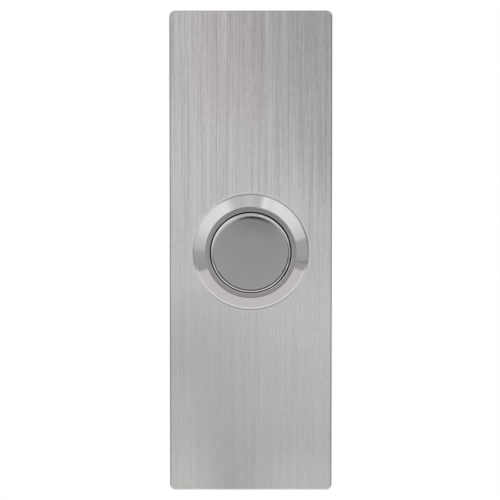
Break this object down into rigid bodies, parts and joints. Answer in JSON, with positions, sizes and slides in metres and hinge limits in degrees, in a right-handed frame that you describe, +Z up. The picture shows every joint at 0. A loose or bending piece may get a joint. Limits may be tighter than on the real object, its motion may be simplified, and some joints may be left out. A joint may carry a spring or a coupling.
{
  "type": "doorbell push button",
  "caption": "Upright brushed steel doorbell plate with a round sprung metal push button in a bevelled bezel, on a hidden wall plate.",
  "frame": {"origin": "on the wall plane, behind the button's centre and midway between the two wall-screw holes", "axes": "+X right as seen from the front, +Y into the wall, +Z up"},
  "size_m": [0.0304, 0.0224, 0.09],
  "materials": {
    "brushed_cover": "long vertical brushing",
    "polished_body": "polished bevel with a fine turned land",
    "satin_cap": "fine satin",
    "plate_steel": "mill finish",
    "screw_steel": "bright plated",
    "nut_metal": "nickel plated",
    "spring_steel": "drawn wire and stamped strip",
    "black_rubber": "matt",
    "white_nylon": "moulded",
    "contact_brass": "turned and stamped",
    "black_moulding": "moulded, slightly grained"
  },
  "bodies": {
    "housing": {"face_cover": "brushed_cover", "back_plate": "plate_steel", "cover_screw_top": "screw_steel", "cover_screw_bottom": "screw_steel", "switch_body": "polished_body", "bezel_gasket": "black_rubber", "lock_washer": "spring_steel", "panel_nut": "nut_metal", "return_spring": "spring_steel", "terminal_block": "black_moulding", "block_retaining_ring": "spring_steel", "terminal_post_left": "contact_brass", "terminal_post_right": "contact_brass", "clamp_washer_left": "screw_steel", "clamp_washer_right": "screw_steel", "terminal_screw_left": "screw_steel", "terminal_screw_right": "screw_steel"},
    "button": {"button_cap": "satin_cap", "cap_seal": "black_rubber", "plunger": "white_nylon", "contact_spring": "spring_steel", "contact_bridge": "contact_brass", "bridge_clip": "spring_steel"}
  },
  "joints": [
    {"name": "button_press", "type": "slide", "parent": "housing", "child": "button", "axis": [0, 1, 0], "range_m": [0, 0.0012], "stiffness_N_per_m": 1200, "springref_m": -0.002, "deforming": ["return_spring"]}
  ]
}
